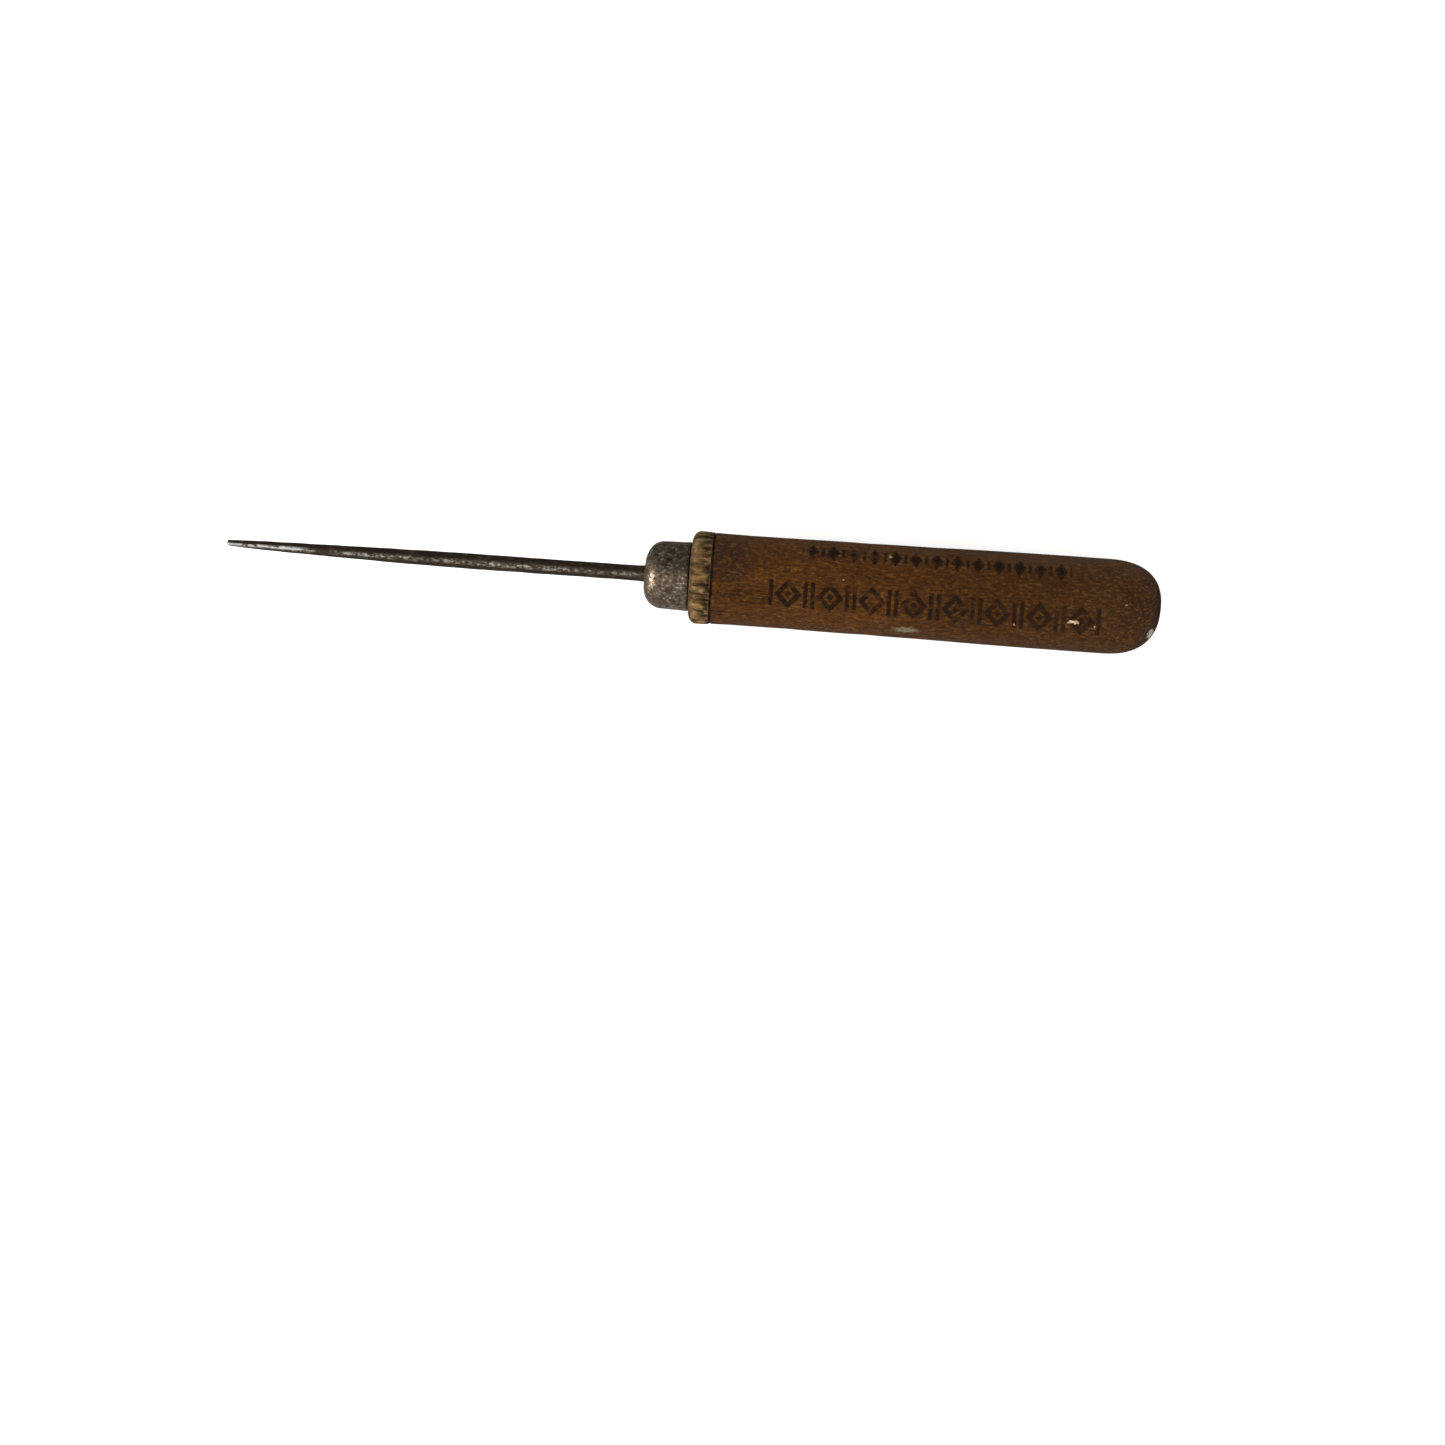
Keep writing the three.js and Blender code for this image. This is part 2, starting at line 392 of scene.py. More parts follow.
def handle_profile(look):
    """The turned handle's profile, from the blind end of its pilot hole, along the hole to the
    tenon's front, and over the tenon, the collar, the groove and the grip to the middle of the butt."""
    narrow, ears, neck = BORE_RADIUS, BORE_EARS_RADIUS, BORE_FRONT_RADIUS
    blind_end = [TANG_END + 2.2 * MM, TANG_END + MM]
    round_ears = [EARS_TO + 1.2 * MM, EARS_TO + 0.6 * MM, EARS_FROM - 0.6 * MM, EARS_FROM - 1.2 * MM]
    bore = (
        np.array([*blind_end, *round_ears, -13.5 * MM, -14.1 * MM]),
        np.array([0, narrow, narrow, ears, ears, narrow, narrow, neck]),
    )
    front = run([TENON_FRONT, TENON_FRONT + 1e-9], [neck, 2.9 * MM], 2)
    dome = rounding(TENON_FRONT, TENON_REACH, TENON_FLAT, TENON_RADIUS, 10)
    barrel = run([TENON_FRONT + TENON_REACH + 0.5 * MM, SHOULDER], [TENON_RADIUS, TENON_MOUTH], 5)
    shoulder = rounding(SHOULDER, 1.9 * MM, 8.2 * MM, look.collar, 16)
    collar_radii = [look.collar, look.collar, look.collar - 0.06 * MM]
    collar = run([-2.8 * MM, -1.6 * MM, -0.35 * MM], collar_radii, 17)
    groove = run([-0.3 * MM, 0.9 * MM], [look.collar - 0.07 * MM, look.waist + 0.13 * MM], 25)
    grip = run(
        np.array([1.0, 8, 15, 30, 50, 62, 76, 92]) * MM,
        [look.waist + more * MM for more in (0.12, 0.06, 0.05, 0.18)]
        + [look.swell - less * MM for less in (0.28, 0.12, 0.02, 0)],
        150,
    )
    butt = rounding(BUTT - 0.3 * MM, -13.4 * MM, 0, look.swell, 46, squareness=2.5)
    butt = [values[-2::-1] for values in butt]
    return joined(bore, front, dome, barrel, shoulder, collar, groove, grip, butt)


def make_handle(look):
    rng = np.random.default_rng(HANDLE_SEED)
    station, radius, angle = grid(handle_profile(look), HANDLE_COLUMNS)
    outside = rise(np.arange(len(station)), BORE_ROWS, BORE_ROWS + 2)[:, None] * np.ones_like(station)
    on_collar = outside * rise(station, SHOULDER - 0.05 * MM, SHOULDER + 0.3 * MM)
    on_collar *= 1 - rise(station, -0.25 * MM, 0.05 * MM)
    on_grip = outside * rise(station, 0.5 * MM, 1.2 * MM)

    # Drying leaves the handle slightly oval, and sanding leaves it slightly wavy.
    oval = 0.03 * MM * (1 - np.cos(2 * angle - 1.0)) / 2
    waves = 0.012 * MM * (1 + ripple(station, angle, rng, 12, 5, 9 * MM) / 2)
    knock_sizes = {"narrow": 0.5 * MM, "wide": 2.2 * MM, "shallow": 0.015 * MM, "deep": 0.10 * MM}
    places = scattered(rng, KNOCKS, 3 * MM, 100 * MM, stretch=1.5, **knock_sizes)
    knocks = dips(station, angle, radius, *places)
    taken = on_grip * (oval + waves.clip(0) + knocks)

    # The collar is bare wood: its soft grain has worn into furrows along the axis.
    along = rng.uniform(-5.2 * MM, 0.2 * MM, FURROWS)
    furrows = dips(station, angle, radius, *marks(rng, along, (0.8, 3.4), (0.2, 0.5), (0.03, 0.2)))
    along = rng.uniform(-0.6 * MM, 0.1 * MM, SPLITS)
    furrows += dips(station, angle, radius, *marks(rng, along, (0.7, 2.0), (0.18, 0.5), (0.06, 0.26)))
    wear = 0.05 * MM * (1 + ripple(station, angle, rng, 10, 14, 6 * MM) / 2).clip(0)
    taken += on_collar * (furrows + wear)

    # The scored groove is a V whose line, width and depth wander a little, with broken edges.
    around = np.zeros_like(station)
    middle = look.groove_width / 2 + 0.05 * MM * ripple(around, angle, rng, 8, 9, 1)
    half = look.groove_width / 2 * (1 + 0.28 * ripple(around, angle, rng, 10, 22, 1)).clip(0.55, 1.7)
    depth = look.groove_depth * (1 + 0.3 * ripple(around, angle, rng, 8, 7, 1)).clip(0.4, 1.6)
    vee = outside * (1 - np.abs(station - middle) / half).clip(0, 1)
    edge = np.where(rng.uniform(0, 1, CHIPS) < 0.5, -0.15 * MM, 0.75 * MM)
    chips = dips(station, angle, radius, *marks(rng, edge, (0.15, 0.4), (0.25, 0.9), (0.05, 0.22)))
    chips *= outside
    taken += vee * depth + chips

    # The butt was rounded by hand, so its dome leans a little to one side.
    lean = 0.034 * rise(station, 90 * MM, BUTT)
    points = around_axis(station, radius - taken, angle)
    points[..., 0] += outside * lean * points[..., 1]

    hollow = on_collar * (furrows / (0.16 * MM)).clip(0, 1)
    scored = (vee * 2.2 + chips / (0.2 * MM)).clip(0, 1)
    bare = 1 - rise(station, -0.1 * MM, 0.1 * MM)
    piece = skin("wooden_handle", points, False, hollow=hollow, scored=scored, bare=bare)
    place_piece(piece, "handle", stained_beech(look))


# ---- ferrule


def ferrule_profile(look):
    """The drawn cup's closed profile: out from the hole over its raised lip, the flat front, the dome
    and the barrel to the mouth, and back along the inner face."""
    front, sheet, hole, flat = FERRULE_FRONT, look.sheet, FERRULE_HOLE, FERRULE_FLAT
    lip = (
        front + np.array([0.1, -0.02, -0.07, -0.06, -0.02, 0.0, 0.0]) * MM,
        hole + np.array([0.0, 0.04, 0.16, 0.32, 0.52, 0.75, 0.9]) * MM,
    )
    dome = rounding(front, DOME_REACH, flat, look.front, DOME_ROWS)
    low, high = front + DOME_REACH + 0.2 * MM, FERRULE_MOUTH - EDGE
    barrel = run([low, high], [look.front, look.mouth], BARREL_ROWS)
    turn = np.linspace(0, math.pi, 9)[1:-1]
    middle = look.mouth - sheet / 2
    rim = (high + EDGE * np.sin(turn), middle + sheet / 2 * np.cos(turn))
    inner_barrel = run([high, low], [look.mouth - sheet, look.front - sheet], 14)
    inner_dome = rounding(front + sheet, DOME_REACH - sheet, flat, look.front - sheet, 16)
    inner_dome = [values[::-1] for values in inner_dome]
    back = (np.array([front + sheet, front + 0.3 * MM]), np.array([hole, hole]))
    return joined(lip, dome, barrel, rim, inner_barrel, inner_dome, back)


def make_ferrule(look):
    rng = np.random.default_rng(FERRULE_SEED)
    station, radius, angle = grid(ferrule_profile(look), FERRULE_COLUMNS)
    outer_rows = LIP_ROWS + DOME_ROWS + BARREL_ROWS
    outside = 1 - rise(np.arange(len(station)), outer_rows - 3, outer_rows + 2)[:, None]

    # The cup follows the dents of use as a whole, and rust has eaten pits in its outer face.
    both = 0.03 * MM * ripple(station, angle, rng, 10, 6, 10 * MM)
    low, high = FERRULE_FRONT, FERRULE_MOUTH
    dent_sizes = {"narrow": 0.8 * MM, "wide": 1.8 * MM, "shallow": 0.03 * MM, "deep": 0.12 * MM}
    dents = dips(station, angle, radius, *scattered(rng, DENTS, low, high, **dent_sizes))
    pit_sizes = {"narrow": 0.16 * MM, "wide": 0.5 * MM, "shallow": 0.01 * MM, "deep": 0.07 * MM}
    pits = dips(station, angle, radius, *scattered(rng, RUST_PITS, low, high, **pit_sizes))
    on_front = rise(radius, 2.6 * MM, 4.0 * MM)
    taken = on_front * (both + dents + outside * pits)
    points = around_axis(station, radius - taken, angle)

    # The front was pressed a little askew.
    askew = 0.02 * (1 - rise(station, low + 0.2 * MM, low + 2.2 * MM))
    points[..., 0] += askew * (points[..., 1] + 3 * MM)
    pitted = outside * (pits / (0.045 * MM)).clip(0, 1)
    piece = skin("steel_ferrule", points, True, pitted=pitted)
    place_piece(piece, "ferrule", plated_steel(look))


# ---- spike


def pick_profile(look):
    """The spike's profile from its blunt point over the taper, the shank and the neck in the ferrule
    to the end of the tang."""
    tang = TANG_RADIUS
    nose = rounding(TIP, 0.8 * MM, 0, look.nose, 12)
    taper = run(
        TIP + np.array([0.95, 7, 18, 35, 46, 58, 78, 96.8]) * MM,
        [look.nose + more * MM for more in (0.01, 0.27, 0.53)]
        + [look.shank - less * MM for less in (0.24, 0.08, 0, 0.02, 0)],
        330,
    )
    neck = (
        FERRULE_FRONT + np.array([-1.2, -0.8, -0.4, 0.0, 1.0, 1.5]) * MM,
        look.shank + np.array([0.02, 0.06, 0.09, 0.1, 0.1, -0.03]) * MM,
    )
    hidden = run([FERRULE_FRONT + 2.5 * MM, TANG_END - 3 * MM], [tang, tang], 60)
    end = (TANG_END - np.array([2, 1, 0, 0]) * MM, tang * np.array([0.8, 0.57, 0.33, 0]))
    return joined(nose, taper, neck, hidden, end)


def make_pick(look):
    rng = np.random.default_rng(SPIKE_SEED)
    station, radius, angle = grid(pick_profile(look), SPIKE_COLUMNS)
    shown = 1 - rise(station, FERRULE_FRONT - 0.5 * MM, FERRULE_FRONT + 0.5 * MM)
    from_tip = station - TIP
    body = rise(from_tip, 0.5 * MM, 2 * MM)

    # Filing and rust have left the spike uneven and finely pitted.
    uneven = 0.024 * MM * ripple(station, angle, rng, 14, 3, 7 * MM) * rise(from_tip, 2 * MM, 12 * MM)
    pit_sizes = {"narrow": 0.12 * MM, "wide": 0.4 * MM, "shallow": 0.006 * MM, "deep": 0.05 * MM}
    places = scattered(rng, SPIKE_PITS, TIP, FERRULE_FRONT, stretch=1.3, **pit_sizes)
    pits = dips(station, angle, radius, *places)
    taken = shown * body * (uneven + pits)

    # Two ears are swaged on the tang: it is squeezed from above and below, and spreads sideways.
    ears = rise(station, EARS_FROM, EARS_FROM + EARS_FADE)
    ears *= 1 - rise(station, EARS_TO - EARS_FADE, EARS_TO)
    points = around_axis(station, radius - taken, angle)
    points[..., 1] *= 1 + EARS_SPREAD * ears
    points[..., 2] = AXIS_HEIGHT + (points[..., 2] - AXIS_HEIGHT) * (1 - EARS_SPREAD * ears)

    # The point is worn off at a slant, and the front two thirds of the spike bend a little to +Y.
    slant = 0.28 * (1 - rise(from_tip, 0.6 * MM, 4 * MM)) * rise(from_tip, 0, 0.35 * MM)
    points[..., 0] -= slant * points[..., 1]
    bent = (1 - from_tip / (66 * MM)).clip(0, 1) ** 2
    points[..., 1] += look.bend * bent
    pitted = shown * (pits / (0.03 * MM)).clip(0, 1)
    piece = skin("steel_spike", points, False, pitted=pitted)
    place_piece(piece, "pick", aged_steel(look))


# ---- material patterns


def new_material(name):
    """An empty material, its tree, and positions in it with the axis at zero height and stations as X."""
    material = bpy.data.materials.new(name)
    material.use_nodes = True
    tree = material.node_tree
    tree.nodes.clear()
    here = add(tree, "ShaderNodeTexCoord", out="Object")
    place = add(tree, "ShaderNodeMapping", {"Vector": here, "Location": (-ZERO_X, 0, -AXIS_HEIGHT)})
    return material, tree, place


def add(tree, kind, sockets=None, out=0, **settings):
    """Adds one node and returns one of its outputs. A socket is given a value, or the output that
    feeds it; the settings are the node's own."""
    node = tree.nodes.new(kind)
    for name, value in settings.items():
        setattr(node, name, value)
    for key, value in (sockets or {}).items():
        if isinstance(value, bpy.types.NodeSocket):
            tree.links.new(value, node.inputs[key])
        else:
            node.inputs[key].default_value = value
    return node.outputs[out]


def axis_parts(tree, place):
    """The station, the distance to +Y, and the angle round the axis from the top, towards +Y."""
    station, side, up = [add(tree, "ShaderNodeSeparateXYZ", {"Vector": place}, out=axis) for axis in "XYZ"]
    angle = add(tree, "ShaderNodeMath", {0: side, 1: up}, operation="ARCTAN2")
    return station, side, angle


def streaks(tree, place, along, across, low, high, detail=2.0, shift=0.0):
    """A mask of streaks about `along` mm long and `across` mm wide: noise stretched along the axis,
    from 0 at the noise value low to 1 at high. `shift` picks another stretch of the same noise."""
    scale = [1 / (size * MM) for size in (along, across, across)]
    where = add(tree, "ShaderNodeMapping", {"Vector": place, "Location": (shift,) * 3, "Scale": scale})
    value = add(tree, "ShaderNodeTexNoise", {"Vector": where, "Scale": 1.0, "Detail": detail})
    return add(tree, "ShaderNodeMapRange", {"Value": value, "From Min": low, "From Max": high})


def step(tree, value, low, high):
    """0 where value is at low and 1 where it is at high, with a smooth step between. High may be the
    smaller one."""
    sockets = {"Value": value, "From Min": low, "From Max": high}
    return add(tree, "ShaderNodeMapRange", sockets, interpolation_type="SMOOTHSTEP")


def times(tree, *factors):
    """The product of several values."""
    total = factors[0]
    for factor in factors[1:]:
        total = add(tree, "ShaderNodeMath", {0: total, 1: factor}, operation="MULTIPLY")
    return total


def plus(tree, *terms):
    """The sum of several values. A tuple of factors stands for their product."""
    values = [times(tree, *term) if isinstance(term, tuple) else term for term in terms]
    total = values[0]
    for value in values[1:]:
        total = add(tree, "ShaderNodeMath", {0: total, 1: value}, operation="ADD")
    return total


def but_not(tree, value, gone):
    """What is left of a mask where another one doesn't cover it: value * (1 - gone)."""
    left = add(tree, "ShaderNodeMath", {0: 1.0, 1: gone}, operation="SUBTRACT", use_clamp=True)
    return times(tree, value, left)


def between(tree, value, low, high, soft):
    """A mask that is 1 where value lies between low and high. Its edges reach `soft` to each side."""
    above = step(tree, value, low - soft, low + soft)
    return times(tree, above, step(tree, value, high + soft, high - soft))


def shaken(tree, place, size, reach, shift=0.0):
    """Positions moved by up to `reach` mm, in lumps about `size` mm wide, so edges turn ragged."""
    scale = (1 / (size * MM),) * 3
    where = add(tree, "ShaderNodeMapping", {"Vector": place, "Location": (shift,) * 3, "Scale": scale})
    lumps = add(tree, "ShaderNodeTexNoise", {"Vector": where, "Scale": 1.0, "Detail": 3.0}, out="Color")
    centred = add(tree, "ShaderNodeVectorMath", {0: lumps, 1: (0.5,) * 3}, operation="SUBTRACT")
    inputs = {0: centred, 1: (2 * reach * MM,) * 3, 2: place}
    return add(tree, "ShaderNodeVectorMath", inputs, operation="MULTIPLY_ADD")


def spot(tree, place, centre, size, soft=0.25):
    """A mask of one spot at `centre`, with half-widths `size` along, across and in depth, all in mm.
    Its edge reaches `soft` of its size to each side."""
    location, scale = [-c / s for c, s in zip(centre, size)], [1 / (s * MM) for s in size]
    near = add(tree, "ShaderNodeMapping", {"Vector": place, "Location": location, "Scale": scale})
    distance = add(tree, "ShaderNodeVectorMath", {0: near}, out="Value", operation="LENGTH")
    return step(tree, distance, 1.0 + soft, 1.0 - soft)


def coats(tree, ground, *layers):
    """A colour: the ground with the layers laid over it in order. Each layer is its factors, whose
    product is how much it covers, and then its colour."""
    top = ground
    for *factors, over in layers:
        cover = times(tree, *factors)
        top = add(tree, "ShaderNodeMix", {0: cover, 6: top, 7: over}, out=2, data_type="RGBA")
    return top


def finish_material(material, tree, base, roughness, relief, depth, **sockets):
    """Ends a material in a Principled shader, with `relief` from 0 to 1 standing `depth` high."""
    normal = add(tree, "ShaderNodeBump", {"Height": relief, "Distance": depth, "Strength": 1.0})
    inputs = {"Base Color": base, "Roughness": roughness, "Normal": normal}
    inputs |= {name.replace("_", " "): value for name, value in sockets.items()}
    shader = add(tree, "ShaderNodeBsdfPrincipled", inputs)
    output = tree.nodes.new("ShaderNodeOutputMaterial")
    tree.links.new(shader, output.inputs["Surface"])
    return material


# ---- materials


def ornament(tree, place):
    """A printed border pattern in dark ink: a row of lozenges between pairs of bars along the grip,
    and a row of small lozenges and ticks above it. The rows run at a slight slant to the axis, their
    edges have bled along the grain, and the print is rubbed off in places."""
    bled = shaken(tree, place, 0.7, 0.3, 2.0)
    station, _, angle = axis_parts(tree, bled)
    slanted = plus(tree, (station, ORNAMENT_SLANT), (angle, GIRTH_RADIUS))
    rows = []
    for inner, heart, *sizes in ORNAMENT_ROWS:
        middle, first, last, pitch, high, wide, tall, offset, thick = [size * MM for size in sizes]
        along = add(tree, "ShaderNodeMath", {0: station, 1: first}, operation="SUBTRACT")
        from_bar = add(tree, "ShaderNodeMath", {0: along, 1: pitch / 2}, operation="PINGPONG")
        from_middle = add(tree, "ShaderNodeMath", {0: pitch / 2, 1: from_bar}, operation="SUBTRACT")
        off = add(tree, "ShaderNodeMath", {0: slanted, 1: middle}, operation="SUBTRACT")
        off = add(tree, "ShaderNodeMath", {0: off}, operation="ABSOLUTE")
        lozenge = plus(tree, (off, 1 / high), (from_middle, 1 / wide))
        outline = between(tree, lozenge, inner, 1.0, 0.05)
        filled = step(tree, lozenge, heart + 0.05, heart - 0.05)
        post = between(tree, from_bar, offset - thick, offset + thick, 0.08 * MM)
        bar = times(tree, post, step(tree, off, tall + 0.1 * MM, tall - 0.1 * MM))
        extent = between(tree, station, first, last, 0.1 * MM)
        rows.append(times(tree, plus(tree, outline, filled, bar), extent))
    print_mask = add(tree, "ShaderNodeMath", {0: rows[0], 1: rows[1]}, operation="MAXIMUM")
    grainy = streaks(tree, place, 0.9, 0.45, 0.22, 0.44, detail=4.0, shift=5.0)
    rubbed = streaks(tree, place, 4, 2.4, 0.32, 0.48, detail=3.0, shift=29.0)
    inputs = {"Value": station, "From Min": 30 * MM, "From Max": 95 * MM, "To Min": 1.0, "To Max": 0.8}
    faded = add(tree, "ShaderNodeMapRange", inputs)
    return times(tree, print_mask, grainy, plus(tree, 0.25, (rubbed, 0.75)), faded)


def stained_beech(look):
    """Stained and varnished beech. Turned, stained brown and thinly varnished long ago, it shows fine
    streaks and short dark flecks along the grain under a dry, worn skin, and grey grime where hands
    and drawers have touched it. The collar has lost its stain and varnish, so it shows furrowed bare
    wood. The flecks are drawn about twice their real width, because real ones are too fine to show."""
    material, tree, place = new_material("stained beech, worn varnish")
    station, side, _ = axis_parts(tree, place)

    # Growth rings: shells about 2 mm apart round a pith outside the handle, shaken along the grain.
    inputs = {"Vector": place, "Location": (0, 24 * MM, 15 * MM), "Rotation": (0, 0.03, 0.04)}
    tilted = add(tree, "ShaderNodeMapping", inputs)
    flat = add(tree, "ShaderNodeVectorMath", {0: tilted, 1: (0, 1, 1)}, operation="MULTIPLY")
    shell = add(tree, "ShaderNodeVectorMath", {0: flat}, out="Value", operation="LENGTH")
    shake = streaks(tree, place, 30, 6, 0.0, 1.0)
    shell = plus(tree, (shake, 3 * MM), shell)
    years = times(tree, shell, 1 / (2.1 * MM))
    ring = add(tree, "ShaderNodeTexNoise", {"W": years, "Scale": 1.0, "Detail": 2.0}, noise_dimensions="1D")
    ring = add(tree, "ShaderNodeMapRange", {"Value": ring, "From Min": 0.35, "From Max": 0.65})

    # Grain, from broad tones down to single fibres.
    tone = streaks(tree, place, 20, 6, 0.38, 0.62, detail=3.0, shift=41.0)
    patch = streaks(tree, place, 13, 5, 0.5, 0.68, detail=3.0, shift=11.0)
    fibre = streaks(tree, place, 7, 0.4, 0.32, 0.68, detail=3.0)
    fine = streaks(tree, place, 2.6, 0.22, 0.35, 0.65, detail=2.0, shift=33.0)
    crowd = streaks(tree, place, 11, 4, 0.42, 0.6, shift=23.0)
    fleck = times(tree, streaks(tree, place, 1.7, 0.27, 0.56, 0.68, detail=1.0, shift=7.0), crowd)
    check = streaks(tree, place, 12, 0.34, 0.66, 0.74, detail=2.0, shift=51.0)
    mottle = streaks(tree, place, 1.2, 0.7, 0.4, 0.64, detail=5.0, shift=3.0)
    glint = streaks(tree, place, 1.3, 0.55, 0.52, 0.74, detail=5.0, shift=91.0)
    handled = spot(tree, shaken(tree, place, 3, 1.5, 6.0), (9.5, -3.5, 9.9), (6, 3, 4), 0.5)
    dashes = times(tree, streaks(tree, place, 2.4, 0.4, 0.46, 0.58, detail=3.0, shift=55.0), handled)
    pores = streaks(tree, place, 0.6, 0.45, 0.4, 0.62, detail=3.0, shift=97.0)
    smudge = streaks(tree, place, 4.5, 0.7, 0.52, 0.66, detail=3.0, shift=71.0)

    # Grime lies on the flank towards +Y, beside the groove and near the butt, in cloudy patches. The butt's
    # dome darkens as end grain and as painted shade, and the middle of its end, facing +X, is painted
    # shade.
    cloud = streaks(tree, place, 9, 5, 0.36, 0.64, detail=4.0, shift=17.0)
    upper = step(tree, side, 4.0 * MM, 11.0 * MM)
    to_butt = step(tree, station, 66 * MM, 104 * MM)
    darker = step(tree, station, 38 * MM, 66 * MM)
    # Darker over the butt's dome: end grain, with painted shade where the dome turns away.
    end_grain_and_shade = step(tree, station, 97 * MM, 105 * MM)
    # Painted shade: the middle of the butt's end, facing +X, is darkened almost to black.
    rim = step(tree, station, 102.6 * MM, 105.2 * MM)
    beside = spot(tree, shaken(tree, place, 4, 2), (4, 4.5, 10), (5.5, 5, 8), 0.4)
    veil = add(tree, "ShaderNodeMath", {0: to_butt, 1: beside}, operation="MAXIMUM")
    beyond = times(tree, upper, step(tree, station, 50 * MM, 74 * MM))
    grime = plus(
        tree,
        (upper, 0.12),
        (upper, cloud, 0.25),
        (beyond, 0.3),
        (to_butt, 0.25),
        (to_butt, cloud, 0.25),
        (cloud, 0.12),
    )
    gold = spot(tree, shaken(tree, place, 6, 3, 9.0), (22, -3, 9), (20, 8, 9), 0.5)

    ink = ornament(tree, place)

    # Chips, flecks of pale paint and scuffs.
    ragged = shaken(tree, place, 0.5, 0.35, 13.0)
    specks = plus(tree, *[spot(tree, ragged, at, (long, wide, 0.9), 0.4) for at, long, wide in FLECKS])
    torn = streaks(tree, place, 0.6, 0.25, 0.3, 0.55, detail=3.0, shift=61.0)
    splintered = shaken(tree, place, 0.9, 0.75, 43.0)
    chip = spot(tree, splintered, (84.5, -4.66, 10.1), (1.2, 0.42, 1.6), 0.25)
    scuff = spot(tree, splintered, (46.1, -9.0, 5.9), (2.6, 0.6, 1.6), 0.5)
    butt_scuff = spot(tree, splintered, (102.9, -5.9, 4.5), (0.7, 1.3, 2.5), 0.35)

    names = ("bare", "hollow", "scored")
    bare, hollow, scored = [
        add(tree, "ShaderNodeAttribute", out="Fac", attribute_name=name) for name in names
    ]
    raw_lines = streaks(tree, place, 2.2, 0.42, 0.52, 0.66, detail=4.0, shift=13.0)
    raw_cloud = streaks(tree, place, 2.6, 0.9, 0.38, 0.62, detail=4.0, shift=19.0)
    behind = streaks(tree, place, 2.2, 1.3, 0.44, 0.56, detail=4.0, shift=81.0)
    packed = streaks(tree, place, 3, 2.2, 0.44, 0.54, detail=3.0, shift=67.0)
    packed = plus(tree, 0.5, (packed, 0.5))
    shoulder = step(tree, station, -3.4 * MM, -4.7 * MM)
    # Painted shade with dirt: the bare collar darkens in patches as it rounds down into the groove.
    groove_shade_and_dirt = times(tree, step(tree, station, -2.9 * MM, -0.6 * MM), plus(tree, 0.2, (behind, 0.8)))

    varnished = coats(
        tree,
        look.stain,
        (gold, 0.5, look.stain_gold),
        (tone, 0.45, look.stain_light),
        (patch, 0.4, look.stain_red),
        (ring, 0.16, look.stain_dark),
        (fibre, 0.4, look.stain_light),
        (fine, 0.22, look.stain_dark),
        (mottle, 0.5, look.stain_dark),
        (pores, 0.42, look.stain_dark),
        (glint, 0.75, look.stain_pale),
        (dashes, 0.7, look.stain_dark),
        (smudge, crowd, 0.5, look.stain_dark),
        (fleck, 0.34, look.stain_dark),
        (check, 0.25, look.crack_dirt_and_shade),
        (darker, 0.24, look.stain_dark),
        (grime, look.grime),
        (beside, 0.6, look.dark_grime_and_shade),
        (end_grain_and_shade, 0.62, look.dark_grime_and_shade),
        (pores, veil, 0.42, look.stain_dark),
        (glint, veil, 0.5, look.stain_pale),
        (rim, 0.8, look.crack_dirt_and_shade),
        (ink, 0.94, look.ink),
        (specks, 0.68, look.fleck),
        (chip, torn, look.chip),
        (scuff, torn, 0.68, look.scuff),
        (butt_scuff, torn, 0.9, look.butt_scuff),
    )
    unvarnished = coats(
        tree,
        look.raw,
        (raw_cloud, 0.9, look.raw_light),
        (fibre, 0.25, look.raw_light),
        (upper, 0.4, look.raw_grime),
        (mottle, 0.3, look.stain_dark),
        (behind, 0.34, look.stain_dark),
        (shoulder, 0.5, look.dark_grime_and_shade),
        (groove_shade_and_dirt, 0.74, look.stain_dark),
        (raw_lines, 0.7, look.crack_dirt_and_shade),
        (hollow, 0.76, look.crack_dirt_and_shade),
    )
    base = coats(tree, varnished, (bare, unvarnished), (scored, packed, look.crack_dirt_and_shade))
    gloss = plus(tree, 0.5, (cloud, 0.1), (fleck, 0.12), (bare, 0.22), (grime, 0.1))
    relief = plus(
        tree,
        0.5,
        (fibre, 0.22),
        (fleck, -0.5),
        (check, -0.8),
        (mottle, 0.22),
        (raw_lines, bare, -1.0),
        (chip, torn, -0.8),
    )
    varnish = {"IOR": 1.5, "Specular_IOR_Level": 0.07}
    return finish_material(material, tree, base, gloss, relief, 0.05 * MM, **varnish)


